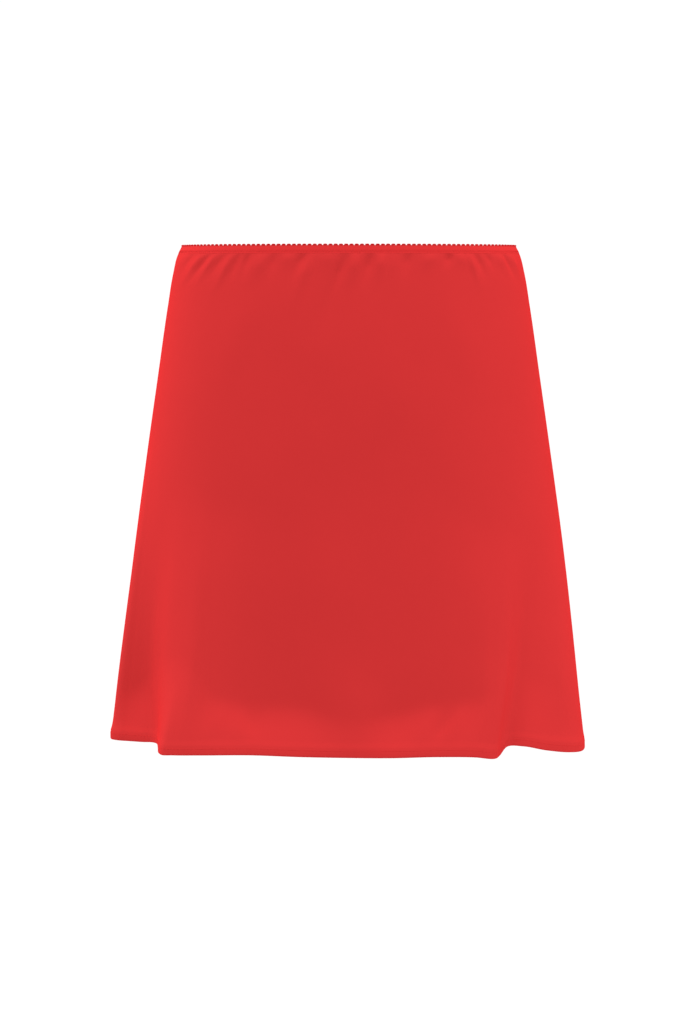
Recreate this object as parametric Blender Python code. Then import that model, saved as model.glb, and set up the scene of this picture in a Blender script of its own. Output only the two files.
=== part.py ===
"""A mini skirt: two flared panels gathered into a picot-edged waist elastic, hollow and filled out.

Metres, +Z up. The front faces -Y. The origin is the middle of the waist opening, half way up the
elastic. "below" is a distance straight down from there, and "place" runs round the skirt: 0 at the
left side seam (-X), 0.5 at the centre front, 1 at the right side seam and 1.5 at the centre back.
"""

from collections import namedtuple

import bmesh
import bpy
import numpy as np

LENGTH = 0.3915  # from the origin down to the hem's edge
CLOTH = 0.0012  # wall of a panel
SEAM_GAP = 0.0003  # between two pieces that are sewn to each other

ELASTIC_TOP = -0.0027  # below the origin, so above it
ELASTIC_FOOT = 0.0030
ELASTIC_WALL = 0.0012
PICOT_RISE = 0.0010
PICOTS = 172
COLUMNS_A_PICOT = 3

PANEL_TOP = -0.0018  # the panels' raw edge, hidden behind the elastic
PUFF_FOOT = 0.0050  # where the cloth has come out level with the elastic's face
HEM_HEIGHT = 0.0055
HEM_STEP = 0.0012  # over this height the wall thickens into the turned hem
HEM_RAISE = 0.0003  # the hem's outer face stands this far out
HEM_WALL = 0.0022

RED_CLOTH = (0.665, 0.034, 0.035, 1.0)
RED_ELASTIC = (0.640, 0.032, 0.034, 1.0)

# The filled-out form, a row for each level: half width from side to side, depth in front of and
# behind the middle, and how square the oval is (2 is an ellipse).
Level = namedtuple("Level", "below half_width front_depth back_depth squareness")
LEVELS = (
    Level(-0.0030, 0.1352, 0.0780, 0.0810, 2.30),
    Level(0.0030, 0.1380, 0.0798, 0.0830, 2.30),
    Level(0.0180, 0.1420, 0.0825, 0.0870, 2.28),
    Level(0.0450, 0.1467, 0.0868, 0.0950, 2.26),
    Level(0.1000, 0.1550, 0.0925, 0.1060, 2.25),
    Level(0.1600, 0.1640, 0.0960, 0.1130, 2.25),
    Level(0.2400, 0.1755, 0.0990, 0.1160, 2.25),
    Level(0.3200, 0.1850, 0.1000, 0.1180, 2.25),
    Level(LENGTH, 0.1925, 0.0985, 0.1200, 2.25),
)

# The hanging folds, a row for each ridge, hollow and flat: where the cloth there comes from round the
# skirt, how far below the waist the fold begins, where the cloth lies at the knee of the folds, how
# far below the waist it begins to turn out to the hem, where the hem lies, and how far the hem there
# drops below or rises above the others.
KNEE = 0.315
FOLD_EASE = 0.15  # share of its height over which a hanging fold eases in
KICK_END = 0.396  # the turn out to the hem would end here, a little below the hem's edge
Fold = namedtuple("Fold", "place start knee_across knee_depth kick hem_across hem_depth drop")
FOLDS = (
    Fold(0.000, 0.150, -0.1824, 0.0013, 0.335, -0.1905, 0.0010, -0.0010),  # left side seam
    Fold(0.028, 0.155, -0.1838, -0.0170, 0.335, -0.1928, -0.0300, -0.0010),
    Fold(0.050, 0.155, -0.1838, -0.0320, 0.340, -0.1936, -0.0460, -0.0012),
    Fold(0.064, 0.155, -0.1820, -0.0440, 0.345, -0.1913, -0.0555, -0.0018),  # left side flute
    Fold(0.078, 0.160, -0.1775, -0.0500, 0.350, -0.1850, -0.0600, -0.0020),
    Fold(0.098, 0.170, -0.1715, -0.0530, 0.352, -0.1760, -0.0635, -0.0021),
    Fold(0.120, 0.180, -0.1640, -0.0560, 0.345, -0.1640, -0.0670, -0.0021),
    Fold(0.140, 0.185, -0.1560, -0.0595, 0.338, -0.1530, -0.0705, -0.0019),  # behind the left fold
    Fold(0.158, 0.185, -0.1520, -0.0665, 0.335, -0.1500, -0.0800, -0.0012),
    Fold(0.180, 0.185, -0.1445, -0.0755, 0.335, -0.1496, -0.0940, -0.0004),
    Fold(0.203, 0.185, -0.1350, -0.0845, 0.338, -0.1470, -0.1065, -0.0006),
    Fold(0.228, 0.190, -0.1225, -0.0935, 0.343, -0.1370, -0.1115, -0.0008),  # the front's left fold
    Fold(0.265, 0.200, -0.1080, -0.0950, 0.350, -0.1150, -0.1130, -0.0012),
    Fold(0.335, 0.200, -0.0780, -0.0970, 0.352, -0.0780, -0.1125, -0.0012),
    Fold(0.420, 0.200, -0.0380, -0.1000, 0.354, -0.0380, -0.1135, 0.0000),
    Fold(0.500, 0.160, 0.0010, -0.1045, 0.362, 0.0020, -0.1125, -0.0002),
    Fold(0.580, 0.200, 0.0370, -0.1010, 0.358, 0.0330, -0.1155, 0.0000),
    Fold(0.680, 0.200, 0.0835, -0.0980, 0.350, 0.0700, -0.1150, -0.0006),
    Fold(0.755, 0.215, 0.1110, -0.0955, 0.344, 0.0985, -0.1150, -0.0002),
    Fold(0.795, 0.215, 0.1235, -0.0920, 0.338, 0.1150, -0.1090, 0.0024),  # the front's right fold
    Fold(0.820, 0.215, 0.1300, -0.0835, 0.335, 0.1192, -0.0965, 0.0018),
    Fold(0.843, 0.215, 0.1365, -0.0745, 0.335, 0.1245, -0.0815, -0.0002),
    Fold(0.868, 0.215, 0.1465, -0.0670, 0.338, 0.1365, -0.0775, -0.0008),  # behind the right fold
    Fold(0.900, 0.215, 0.1605, -0.0590, 0.340, 0.1570, -0.0765, 0.0026),
    Fold(0.933, 0.215, 0.1738, -0.0500, 0.340, 0.1762, -0.0720, 0.0054),  # right side flute
    Fold(0.968, 0.200, 0.1818, -0.0350, 0.338, 0.1895, -0.0530, 0.0070),
    Fold(1.000, 0.160, 0.1836, -0.0160, 0.335, 0.1912, -0.0230, 0.0040),  # right side seam
    Fold(1.060, 0.180, 0.1787, 0.0249, 0.340, 0.1850, 0.0230, -0.0020),
    Fold(1.120, 0.200, 0.1688, 0.0582, 0.340, 0.1760, 0.0620, 0.0000),
    Fold(1.180, 0.200, 0.1451, 0.0848, 0.345, 0.1480, 0.0930, 0.0000),  # the back's folds
    Fold(1.240, 0.220, 0.1162, 0.0941, 0.350, 0.1130, 0.0970, 0.0000),
    Fold(1.320, 0.220, 0.0801, 0.1107, 0.345, 0.0760, 0.1200, 0.0000),
    Fold(1.420, 0.220, 0.0339, 0.1131, 0.355, 0.0300, 0.1180, 0.0000),
    Fold(1.520, 0.220, -0.0127, 0.1188, 0.355, -0.0160, 0.1265, 0.0000),
    Fold(1.620, 0.220, -0.0583, 0.1108, 0.345, -0.0600, 0.1160, 0.0000),
    Fold(1.700, 0.220, -0.0947, 0.1078, 0.340, -0.0960, 0.1180, 0.0000),
    Fold(1.770, 0.220, -0.1237, 0.0934, 0.340, -0.1240, 0.0990, 0.0000),
    Fold(1.830, 0.200, -0.1494, 0.0806, 0.345, -0.1530, 0.0900, 0.0000),
    Fold(1.890, 0.180, -0.1674, 0.0556, 0.345, -0.1720, 0.0600, 0.0000),
    Fold(1.945, 0.160, -0.1769, 0.0314, 0.340, -0.1820, 0.0340, -0.0010),
)

# The gathers under the elastic, a row for each: its place at the elastic, how far round its foot
# leans (both as on the front), its width, how far it stands out (less than 0 for a hollow) and its
# length.
Gather = namedtuple("Gather", "place lean width out length")
FRONT_GATHERS = (
    Gather(0.030, -0.010, 0.0110, 0.0006, 0.022),
    Gather(0.090, -0.030, 0.0100, 0.0010, 0.024),
    Gather(0.128, -0.040, 0.0072, -0.0014, 0.022),
    Gather(0.160, -0.060, 0.0072, 0.0022, 0.028),
    Gather(0.181, -0.054, 0.0054, -0.0022, 0.026),
    Gather(0.199, -0.047, 0.0054, 0.0018, 0.028),
    Gather(0.221, -0.043, 0.0063, -0.0015, 0.028),
    Gather(0.241, -0.042, 0.0063, 0.0024, 0.036),
    Gather(0.256, -0.018, 0.0054, -0.0022, 0.028),
    Gather(0.278, -0.006, 0.0054, -0.0019, 0.024),
    Gather(0.312, -0.028, 0.0120, 0.0022, 0.034),
    Gather(0.336, -0.008, 0.0072, -0.0017, 0.028),
    Gather(0.369, -0.005, 0.0081, 0.0014, 0.018),
    Gather(0.402, -0.024, 0.0072, -0.0023, 0.024),
    Gather(0.420, -0.044, 0.0090, 0.0025, 0.052),
    Gather(0.455, -0.010, 0.0120, 0.0011, 0.020),
    Gather(0.494, -0.045, 0.0081, -0.0027, 0.050),
    Gather(0.516, -0.018, 0.0081, 0.0027, 0.034),
    Gather(0.547, -0.020, 0.0072, -0.0025, 0.034),
    Gather(0.571, -0.012, 0.0072, 0.0025, 0.030),
    Gather(0.596, -0.008, 0.0130, 0.0011, 0.036),
    Gather(0.629, -0.018, 0.0081, -0.0018, 0.024),
    Gather(0.680, -0.024, 0.0110, 0.0017, 0.020),
    Gather(0.722, -0.012, 0.0063, -0.0023, 0.016),
    Gather(0.748, 0.004, 0.0090, 0.0015, 0.018),
    Gather(0.769, 0.018, 0.0054, 0.0022, 0.034),
    Gather(0.787, 0.018, 0.0054, -0.0022, 0.026),
    Gather(0.816, 0.014, 0.0054, -0.0017, 0.018),
    Gather(0.850, 0.018, 0.0081, 0.0016, 0.024),
    Gather(0.868, 0.034, 0.0054, -0.0020, 0.028),
    Gather(0.893, 0.036, 0.0081, 0.0019, 0.030),
    Gather(0.950, 0.020, 0.0120, 0.0006, 0.024),
)
CENTRE_BACK = 1.5
BACK_SHIFT = 0.037  # the back's gathers are the front's, carried round by half a turn and this much
BACK_STRETCH = 0.94  # and drawn together about the centre back
GATHER_RISE = 0.28  # share of its length over which a gather comes up from the stitching

# The mesh. Fine columns carry the gathers, and every second one goes on down to the hem.
FINE_COLUMNS = 120
FINE_LEVELS = (PANEL_TOP, 0.0034, PUFF_FOOT, 0.0095, 0.0165, 0.0260, 0.0380)
COARSE_LEVELS = (0.056, 0.090, 0.140, 0.190, 0.235, 0.280, 0.320, 0.346, 0.361, 0.374)
SHARP_ANGLE = np.radians(50)  # only the rims and the elastic's edges are sharper than this
NUDGE = 1e-4  # step for measuring which way a surface faces
RING_POINTS = 721


def clear_scene():
    for thing in list(bpy.data.objects):
        bpy.data.objects.remove(thing, do_unlink=True)


def through_knots(at, knots, values):
    """A smooth curve through the knots: a cubic in each span, with slopes that weigh both spans."""
    spans = np.diff(knots)
    steps = np.diff(values) / spans
    slopes = np.empty_like(values)
    slopes[1:-1] = (steps[1:] * spans[:-1] + steps[:-1] * spans[1:]) / (knots[2:] - knots[:-2])
    slopes[0], slopes[-1] = steps[0], steps[-1]
    first = np.clip(np.searchsorted(knots, at, side="right") - 1, 0, len(knots) - 2)
    span = spans[first]
    part = (at - knots[first]) / span
    left = part - 1
    return (
        (1 + 2 * part) * left**2 * values[first]
        + part * left**2 * span * slopes[first]
        + part**2 * (3 - 2 * part) * values[first + 1]
        + part**2 * left * span * slopes[first + 1]
    )


def column_of(rows, name):
    return np.array([getattr(row, name) for row in rows])


def at_level(name, below):
    """A column of LEVELS, read smoothly at any height."""
    knots = column_of(LEVELS, "below")
    return through_knots(np.clip(below, knots[0], knots[-1]), knots, column_of(LEVELS, name))


def round_folds(name, place):
    """A column of FOLDS, read smoothly all the way round, so that its last row runs into its first."""
    knots = column_of(FOLDS, "place")
    values = np.tile(column_of(FOLDS, name), 3)
    return through_knots(place % 2, np.concatenate([knots - 2, knots, knots + 2]), values)


def half_ring(half_width, depth, squareness, share):
    """Points of half an oval from -X to +X, share of the way along its length, bulging to +Y."""
    turn = np.linspace(0, np.pi, RING_POINTS)
    power = 2 / squareness
    x = -half_width * np.sign(np.cos(turn)) * np.abs(np.cos(turn)) ** power
    y = depth * np.sin(turn).clip(0) ** power
    run = np.concatenate([[0], np.cumsum(np.hypot(np.diff(x), np.diff(y)))])
    return np.interp(share * run[-1], run, x), np.interp(share * run[-1], run, y)


def oval(place, below):
    """The filled-out ring at one level, before any fold."""
    place = place % 2
    front = place <= 1
    size = (at_level("half_width", below), at_level("squareness", below))
    front_x, front_y = half_ring(size[0], at_level("front_depth", below), size[1], place.clip(0, 1))
    back_x, back_y = half_ring(size[0], at_level("back_depth", below), size[1], (2 - place).clip(0, 1))
    return np.where(front, front_x, back_x), np.where(front, -front_y, back_y)


def eased(share):
    """Growth that starts as the square, is 1 where share is 1, and goes on straight."""
    share = np.maximum(share, 0)
    return (1 + FOLD_EASE) * share**2 / (share + FOLD_EASE)


def turned_out(below, start):
    """How much of the turn out to the hem is done: an S curve from its start to KICK_END."""
    share = ((below - start) / (KICK_END - start)).clip(0, 1)
    return share**2 * (3 - 2 * share)


def draped(place, below):
    """The cloth's outer face, a row of points for each level. A fold swings out from the oval to
    where FOLDS has it at the knee, goes on straight, and from the start of the kick is brought to
    where FOLDS has it at the hem."""
    knee = np.stack([round_folds("knee_across", place), round_folds("knee_depth", place)])
    hem = np.stack([round_folds("hem_across", place), round_folds("hem_depth", place)])
    drop, start = round_folds("drop", place), round_folds("start", place)
    kick_start = round_folds("kick", place)
    swing = knee - np.stack(oval(place, KNEE))
    last_swing = eased((LENGTH - start) / (KNEE - start))
    kick = hem - np.stack(oval(place, LENGTH)) - swing * last_swing
    points = np.empty((len(below), len(place), 3))
    for row, level in enumerate(below):
        swung = eased((level - start) / (KNEE - start))
        kicked = turned_out(level, kick_start) / turned_out(LENGTH, kick_start)
        flat = np.stack(oval(place, level)) + swing * swung + kick * kicked
        points[row, :, :2] = flat.T
        points[row, :, 2] = -level - drop * swung / last_swing
    return points


def facing(place, below):
    """The way the outer face looks, from the cross product of its run round and its run down."""
    below = np.asarray(below)
    round_it = draped(place + NUDGE, below) - draped(place - NUDGE, below)
    down_it = draped(place, below + NUDGE) - draped(place, below - NUDGE)
    way = np.cross(down_it, round_it)
    return way / np.linalg.norm(way, axis=2, keepdims=True)


def panel_girth():
    """About how far it is round one panel at the waist: half the way round the oval."""
    return np.pi * 0.5 * (at_level("half_width", 0.0) + at_level("front_depth", 0.0))


def back_gathers():
    for gather in FRONT_GATHERS:
        place = CENTRE_BACK + ((gather.place + BACK_SHIFT) % 1 - 0.5) * BACK_STRETCH
        yield gather._replace(place=place)


def gathered(place, below):
    """How far the gathers move the outer face out: each is a bell across, which comes up from the
    stitching and dies away as the square of what is left of its length."""
    below = np.asarray(below)[:, None]
    out = np.zeros((len(below), len(place)))
    for gather in (*FRONT_GATHERS, *back_gathers()):
        part = ((below - ELASTIC_FOOT) / gather.length).clip(0, 1)
        height = gather.out * (part / GATHER_RISE).clip(0, 1) * (1 - part) ** 2
        aside = ((place - gather.place - gather.lean * part + 1) % 2 - 1) * panel_girth()
        out += height * np.exp(-((2 * aside / gather.width) ** 2))
    return out


def stand_off(below):
    """How far the outer face lies from the draped form: tucked in behind the elastic, level with it
    from just under its foot, and out by the hem's turning at the bottom."""
    tucked = ELASTIC_WALL + SEAM_GAP
    knots = (ELASTIC_FOOT + SEAM_GAP, PUFF_FOOT, LENGTH - HEM_HEIGHT - HEM_STEP, LENGTH - HEM_HEIGHT)
    return np.interp(below, knots, (-tucked, 0, 0, HEM_RAISE))[:, None]


def wall(below):
    top = LENGTH - HEM_HEIGHT - HEM_STEP
    return np.interp(below, (top, top + HEM_STEP), (CLOTH, HEM_WALL))[:, None, None]


def between(upper, lower):
    """Faces between two rows of points, where the lower row has as many points or every second."""
    if len(upper) == len(lower):
        return [list(four) for four in zip(upper, lower, lower[1:], upper[1:])]
    faces = []
    for number, (here, after) in enumerate(zip(lower, lower[1:])):
        first, middle, last = upper[2 * number : 2 * number + 3]
        faces += [[first, here, middle], [middle, here, after], [middle, after, last]]
    return faces


def make_object(name, points, faces, material):
    mesh = bpy.data.meshes.new(name)
    mesh.from_pydata(points.tolist(), [], faces)
    body = bmesh.new()
    body.from_mesh(mesh)
    bmesh.ops.recalc_face_normals(body, faces=body.faces)
    body.to_mesh(mesh)
    body.free()
    mesh.shade_smooth()
    mesh.set_sharp_from_angle(angle=SHARP_ANGLE)
    mesh.materials.append(material)
    thing = bpy.data.objects.new(name, mesh)
    bpy.context.scene.collection.objects.link(thing)
    return thing


def make_material(name, colour, roughness, sheen):
    material = bpy.data.materials.new(name)
    material.use_nodes = True
    shader = material.node_tree.nodes["Principled BSDF"]
    shader.inputs["Base Color"].default_value = colour
    shader.inputs["Roughness"].default_value = roughness
    shader.inputs["Metallic"].default_value = 0.0
    shader.inputs["Sheen Weight"].default_value = sheen
    return material


def make_panel(name, from_place, to_place, material):
    """One panel: an outer and an inner face with rims between them, from seam to seam."""
    gap = 0.5 * SEAM_GAP / panel_girth()
    fine_places = np.linspace(from_place + gap, to_place - gap, FINE_COLUMNS + 1)
    hem_levels = (LENGTH - HEM_HEIGHT - HEM_STEP, LENGTH - HEM_HEIGHT, LENGTH)
    zones = ((FINE_LEVELS, fine_places), (COARSE_LEVELS + hem_levels, fine_places[::2]))
    outer_points, inner_points, rows, count = [], [], [], 0
    for levels, places in zones:
        levels = np.array(levels)
        way = facing(places, levels)
        out = (gathered(places, levels) + stand_off(levels))[..., None]
        outer = draped(places, levels) + way * out
        outer_points.append(outer.reshape(-1, 3))
        inner_points.append((outer - way * wall(levels)).reshape(-1, 3))
        for _ in levels:
            rows.append(list(range(count, count + len(places))))
            count += len(places)
    faces = [face for upper, lower in zip(rows, rows[1:]) for face in between(upper, lower)]
    faces += [[count + corner for corner in reversed(face)] for face in faces]
    left, right = [row[0] for row in rows], [row[-1] for row in rows]
    for edge in (rows[0], rows[-1], left, right):
        faces += between(edge, [count + corner for corner in edge])
    points = np.concatenate(outer_points + inner_points)
    return make_object(name, points, faces, material)


def make_elastic(name, material):
    """The waist elastic: a flat ring on the form, its upper edge a row of small round picots."""
    columns = PICOTS * COLUMNS_A_PICOT
    places = np.arange(columns) * 2 / columns
    levels = np.array((ELASTIC_FOOT, ELASTIC_TOP))
    outer = draped(places, levels)
    inner = outer - facing(places, levels) * ELASTIC_WALL
    phase = (np.arange(columns) % COLUMNS_A_PICOT) / COLUMNS_A_PICOT
    for face in (outer, inner):
        face[1, :, 2] += PICOT_RISE * np.sin(np.pi * phase)
    loops = [outer[0], outer[1], inner[1], inner[0]]
    starts = [number * columns for number in range(len(loops))]
    faces = []
    for here, after in zip(starts, starts[1:] + starts[:1]):
        for column in range(columns):
            beside = (column + 1) % columns
            faces.append([here + column, here + beside, after + beside, after + column])
    return make_object(name, np.concatenate(loops), faces, material)


def main():
    clear_scene()
    cloth = make_material("red_satin_cloth", RED_CLOTH, roughness=0.55, sheen=0.3)
    elastic = make_material("red_picot_elastic", RED_ELASTIC, roughness=0.65, sheen=0.1)
    make_panel("front_panel", 0.0, 1.0, cloth)
    make_panel("back_panel", 1.0, 2.0, cloth)
    make_elastic("waist_elastic", elastic)


main()
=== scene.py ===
"""The looks of a red mini skirt: two gathered panels of soft satin-faced cloth, a picot-edged waist
elastic, and the sewing. Metres, +Z up, the front faces -Y, and the origin is the
middle of the waist opening.

"below" is a distance down from the origin, and "place" runs round the skirt: 0 at the left side seam
(-X), 0.5 at the centre front, 1 at the right side seam and 1.5 at the centre back. Each surface is a
function of those two.
"""

from collections import namedtuple

import bpy
import numpy as np
from bpy.props import FloatProperty, FloatVectorProperty, PointerProperty
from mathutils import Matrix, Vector


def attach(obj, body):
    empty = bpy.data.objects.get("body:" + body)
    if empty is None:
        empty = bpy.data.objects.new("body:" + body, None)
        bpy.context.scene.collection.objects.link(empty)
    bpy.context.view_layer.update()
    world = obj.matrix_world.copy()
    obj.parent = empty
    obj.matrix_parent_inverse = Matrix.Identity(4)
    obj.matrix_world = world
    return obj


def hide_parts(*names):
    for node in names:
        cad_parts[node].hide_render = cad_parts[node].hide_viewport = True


bl_info = {
    "name": "Mini Skirt",
    "version": (1, 0, 0),
    "blender": (4, 5, 0),
    "location": "3D View > Sidebar > Mini Skirt",
    "description": "Dresses the mini skirt's solids in gathered cloth, picot elastic and sewing",
    "category": "Add Mesh",
}

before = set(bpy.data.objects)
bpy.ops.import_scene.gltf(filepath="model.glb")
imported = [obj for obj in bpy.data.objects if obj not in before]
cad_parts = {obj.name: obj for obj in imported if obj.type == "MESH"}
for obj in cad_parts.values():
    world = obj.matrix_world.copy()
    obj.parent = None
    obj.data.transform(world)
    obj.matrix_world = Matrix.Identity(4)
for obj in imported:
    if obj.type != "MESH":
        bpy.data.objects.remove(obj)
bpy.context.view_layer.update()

# ----------------------------------------------------------------------
# Sizes of the form

LENGTH = 0.3927  # from the origin down to the hem's edge
ELASTIC_TOP = -0.0033  # below the origin, so above it
ELASTIC_FOOT = 0.0030
PICOTS = 172  # round the whole elastic
PANEL_TOP = -0.0018  # the panels' raw edge, hidden behind the elastic
PUFF_FOOT = 0.0033  # where the cloth has come out level with the elastic's face
SEAM_GAP = 0.00001  # between the two panels' edges at a side seam
TUCK_GAP = 0.00003  # between the elastic and the cloth behind it
HEM_PUFF = 0.0004  # the cloth stands this far out just above the turned hem
HEM_PUFF_HEIGHT = 0.0055  # it begins to come out this far above the hem's top
HEM_PINCH = 0.0012  # and is at its fullest this far above it
HEM_SINK = 0.00025  # at the hem's top it lies this far out
HEM_RAISE = 0.0004  # and below it this far, falling back to the hem's edge
HEM_RETURN = 0.0010  # from this far below the hem's top

# The filled-out form, a row for each level: half width from side to side, depth in front of and
# behind the middle, and how square the oval is (2 is an ellipse).
Level = namedtuple("Level", "below half_width front_depth back_depth squareness")
LEVELS = (
    Level(-0.0030, 0.1352, 0.0787, 0.0817, 2.30),
    Level(0.0030, 0.1380, 0.0798, 0.0830, 2.30),
    Level(0.0180, 0.1420, 0.0825, 0.0870, 2.28),
    Level(0.0450, 0.1467, 0.0868, 0.0950, 2.26),
    Level(0.1000, 0.1550, 0.0925, 0.1060, 2.25),
    Level(0.1600, 0.1640, 0.0960, 0.1130, 2.25),
    Level(0.2400, 0.1755, 0.0990, 0.1160, 2.25),
    Level(0.3200, 0.1850, 0.1000, 0.1180, 2.25),
    Level(LENGTH, 0.1925, 0.1008, 0.1200, 2.25),
)

# The hanging folds, a row for each ridge, hollow and flat: where the cloth there comes from round the
# skirt, how far below the waist the fold begins, where the cloth lies at the knee of the folds, how
# far below the waist it begins to turn out to the hem, where the hem lies, and how far the hem there
# drops below or rises above the others.
KNEE = 0.315
FOLD_EASE = 0.15  # share of its height over which a hanging fold eases in
KICK_END = 0.3972  # the turn out to the hem would end here, a little below the hem's edge
Fold = namedtuple("Fold", "place start knee_across knee_depth kick hem_across hem_depth drop")
FOLDS = (
    Fold(0.000, 0.150, -0.1824, 0.0013, 0.335, -0.1905, 0.0010, -0.0010),  # left side seam
    Fold(0.028, 0.155, -0.1828, -0.0170, 0.335, -0.1920, -0.0290, -0.0010),
    Fold(0.052, 0.155, -0.1828, -0.0325, 0.340, -0.1924, -0.0450, -0.0012),
    Fold(0.069, 0.155, -0.1822, -0.0438, 0.345, -0.1903, -0.0552, -0.0018),  # left side flute
    Fold(0.080, 0.158, -0.1798, -0.0468, 0.350, -0.1854, -0.0588, -0.0018),
    Fold(0.098, 0.170, -0.1722, -0.0488, 0.352, -0.1765, -0.0618, -0.0018),
    Fold(0.120, 0.180, -0.1634, -0.0522, 0.345, -0.1655, -0.0655, -0.0018),
    Fold(0.140, 0.185, -0.1568, -0.0568, 0.338, -0.1568, -0.0700, -0.0024),  # behind the left fold
    Fold(0.158, 0.185, -0.1512, -0.0642, 0.322, -0.1524, -0.0785, -0.0027),
    Fold(0.180, 0.185, -0.1447, -0.0752, 0.318, -0.1503, -0.0925, -0.0009),
    Fold(0.200, 0.185, -0.1372, -0.0832, 0.316, -0.1490, -0.1012, -0.0001),
    Fold(0.208, 0.187, -0.1335, -0.0862, 0.318, -0.1470, -0.1058, -0.0001),
    Fold(0.228, 0.190, -0.1230, -0.0932, 0.324, -0.1372, -0.1095, -0.0005),  # the front's left fold
    Fold(0.265, 0.200, -0.1080, -0.0952, 0.342, -0.1150, -0.1130, -0.0012),
    Fold(0.335, 0.200, -0.0780, -0.0970, 0.352, -0.0780, -0.1125, -0.0012),
    Fold(0.420, 0.200, -0.0380, -0.1000, 0.354, -0.0380, -0.1135, 0.0000),
    Fold(0.500, 0.160, 0.0010, -0.1045, 0.362, 0.0020, -0.1125, 0.0010),
    Fold(0.580, 0.200, 0.0370, -0.1010, 0.358, 0.0330, -0.1155, 0.0004),
    Fold(0.680, 0.200, 0.0835, -0.0980, 0.350, 0.0700, -0.1150, -0.0003),
    Fold(0.755, 0.215, 0.1110, -0.0957, 0.344, 0.0985, -0.1154, -0.0001),
    Fold(0.795, 0.215, 0.1226, -0.0908, 0.334, 0.1143, -0.1078, 0.0027),  # the front's right fold
    Fold(0.820, 0.215, 0.1287, -0.0828, 0.332, 0.1186, -0.0972, 0.0027),
    Fold(0.843, 0.215, 0.1352, -0.0740, 0.332, 0.1255, -0.0891, -0.0031),
    Fold(0.868, 0.215, 0.1465, -0.0672, 0.335, 0.1388, -0.0850, -0.0023),  # behind the right fold
    Fold(0.900, 0.215, 0.1605, -0.0592, 0.340, 0.1570, -0.0775, 0.0024),
    Fold(0.933, 0.215, 0.1738, -0.0500, 0.340, 0.1762, -0.0680, 0.0060),  # right side flute
    Fold(0.968, 0.200, 0.1818, -0.0350, 0.338, 0.1895, -0.0530, 0.0070),
    Fold(1.000, 0.160, 0.1836, -0.0160, 0.335, 0.1912, -0.0230, 0.0040),  # right side seam
    Fold(1.060, 0.180, 0.1787, 0.0249, 0.340, 0.1850, 0.0230, -0.0020),
    Fold(1.120, 0.200, 0.1688, 0.0582, 0.340, 0.1760, 0.0620, 0.0000),
    Fold(1.180, 0.200, 0.1451, 0.0848, 0.345, 0.1480, 0.0930, 0.0000),  # the back's folds
    Fold(1.240, 0.220, 0.1162, 0.0941, 0.350, 0.1130, 0.0970, 0.0000),
    Fold(1.320, 0.220, 0.0801, 0.1107, 0.345, 0.0760, 0.1200, 0.0000),
    Fold(1.420, 0.220, 0.0339, 0.1131, 0.355, 0.0300, 0.1180, 0.0000),
    Fold(1.520, 0.220, -0.0127, 0.1188, 0.355, -0.0160, 0.1265, 0.0000),
    Fold(1.620, 0.220, -0.0583, 0.1108, 0.345, -0.0600, 0.1160, 0.0000),
    Fold(1.700, 0.220, -0.0947, 0.1078, 0.340, -0.0960, 0.1180, 0.0000),
    Fold(1.770, 0.220, -0.1237, 0.0934, 0.340, -0.1240, 0.0990, 0.0000),
    Fold(1.830, 0.200, -0.1494, 0.0806, 0.345, -0.1530, 0.0900, 0.0000),
    Fold(1.890, 0.180, -0.1674, 0.0556, 0.345, -0.1720, 0.0600, 0.0000),
    Fold(1.945, 0.160, -0.1769, 0.0314, 0.340, -0.1820, 0.0340, -0.0010),
)

# The gathers under the elastic, a row for each: its place at the elastic, how far round its foot
# leans (both as on the front), its width, how far it stands out (less than 0 for a hollow) and its
# length.
Gather = namedtuple("Gather", "place lean width out length")
FRONT_GATHERS = (
    Gather(0.030, -0.010, 0.0110, 0.0003, 0.022),
    Gather(0.090, -0.030, 0.0100, 0.0010, 0.024),
    Gather(0.128, -0.040, 0.0072, -0.0014, 0.022),
    Gather(0.160, -0.066, 0.0072, 0.0020, 0.032),
    Gather(0.181, -0.062, 0.0058, -0.0019, 0.031),
    Gather(0.199, -0.052, 0.0054, 0.0017, 0.032),
    Gather(0.221, -0.043, 0.0063, -0.0015, 0.028),
    Gather(0.241, -0.044, 0.0063, 0.0021, 0.040),
    Gather(0.256, -0.018, 0.0058, -0.0018, 0.030),
    Gather(0.278, -0.006, 0.0054, -0.0019, 0.024),
    Gather(0.312, -0.028, 0.0120, 0.0022, 0.034),
    Gather(0.336, -0.008, 0.0072, -0.0017, 0.028),
    Gather(0.369, -0.005, 0.0081, 0.0014, 0.018),
    Gather(0.402, -0.024, 0.0072, -0.0023, 0.024),
    Gather(0.420, -0.044, 0.0090, 0.0025, 0.052),
    Gather(0.455, -0.010, 0.0120, 0.0011, 0.020),
    Gather(0.494, -0.045, 0.0081, -0.0027, 0.050),
    Gather(0.516, -0.018, 0.0081, 0.0027, 0.034),
    Gather(0.547, -0.020, 0.0072, -0.0025, 0.034),
    Gather(0.571, -0.012, 0.0072, 0.0025, 0.030),
    Gather(0.596, -0.008, 0.0130, 0.0011, 0.036),
    Gather(0.629, -0.018, 0.0081, -0.0018, 0.024),
    Gather(0.680, -0.024, 0.0110, 0.0017, 0.020),
    Gather(0.722, -0.012, 0.0063, -0.0023, 0.016),
    Gather(0.748, 0.004, 0.0090, 0.0015, 0.018),
    Gather(0.769, 0.018, 0.0054, 0.0022, 0.034),
    Gather(0.787, 0.018, 0.0054, -0.0022, 0.026),
    Gather(0.816, 0.014, 0.0054, -0.0017, 0.018),
    Gather(0.850, 0.018, 0.0081, 0.0016, 0.024),
    Gather(0.868, 0.034, 0.0054, -0.0020, 0.028),
    Gather(0.893, 0.036, 0.0081, 0.0019, 0.030),
    Gather(0.950, 0.020, 0.0120, 0.0003, 0.024),
)
CENTRE_BACK = 1.5
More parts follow.
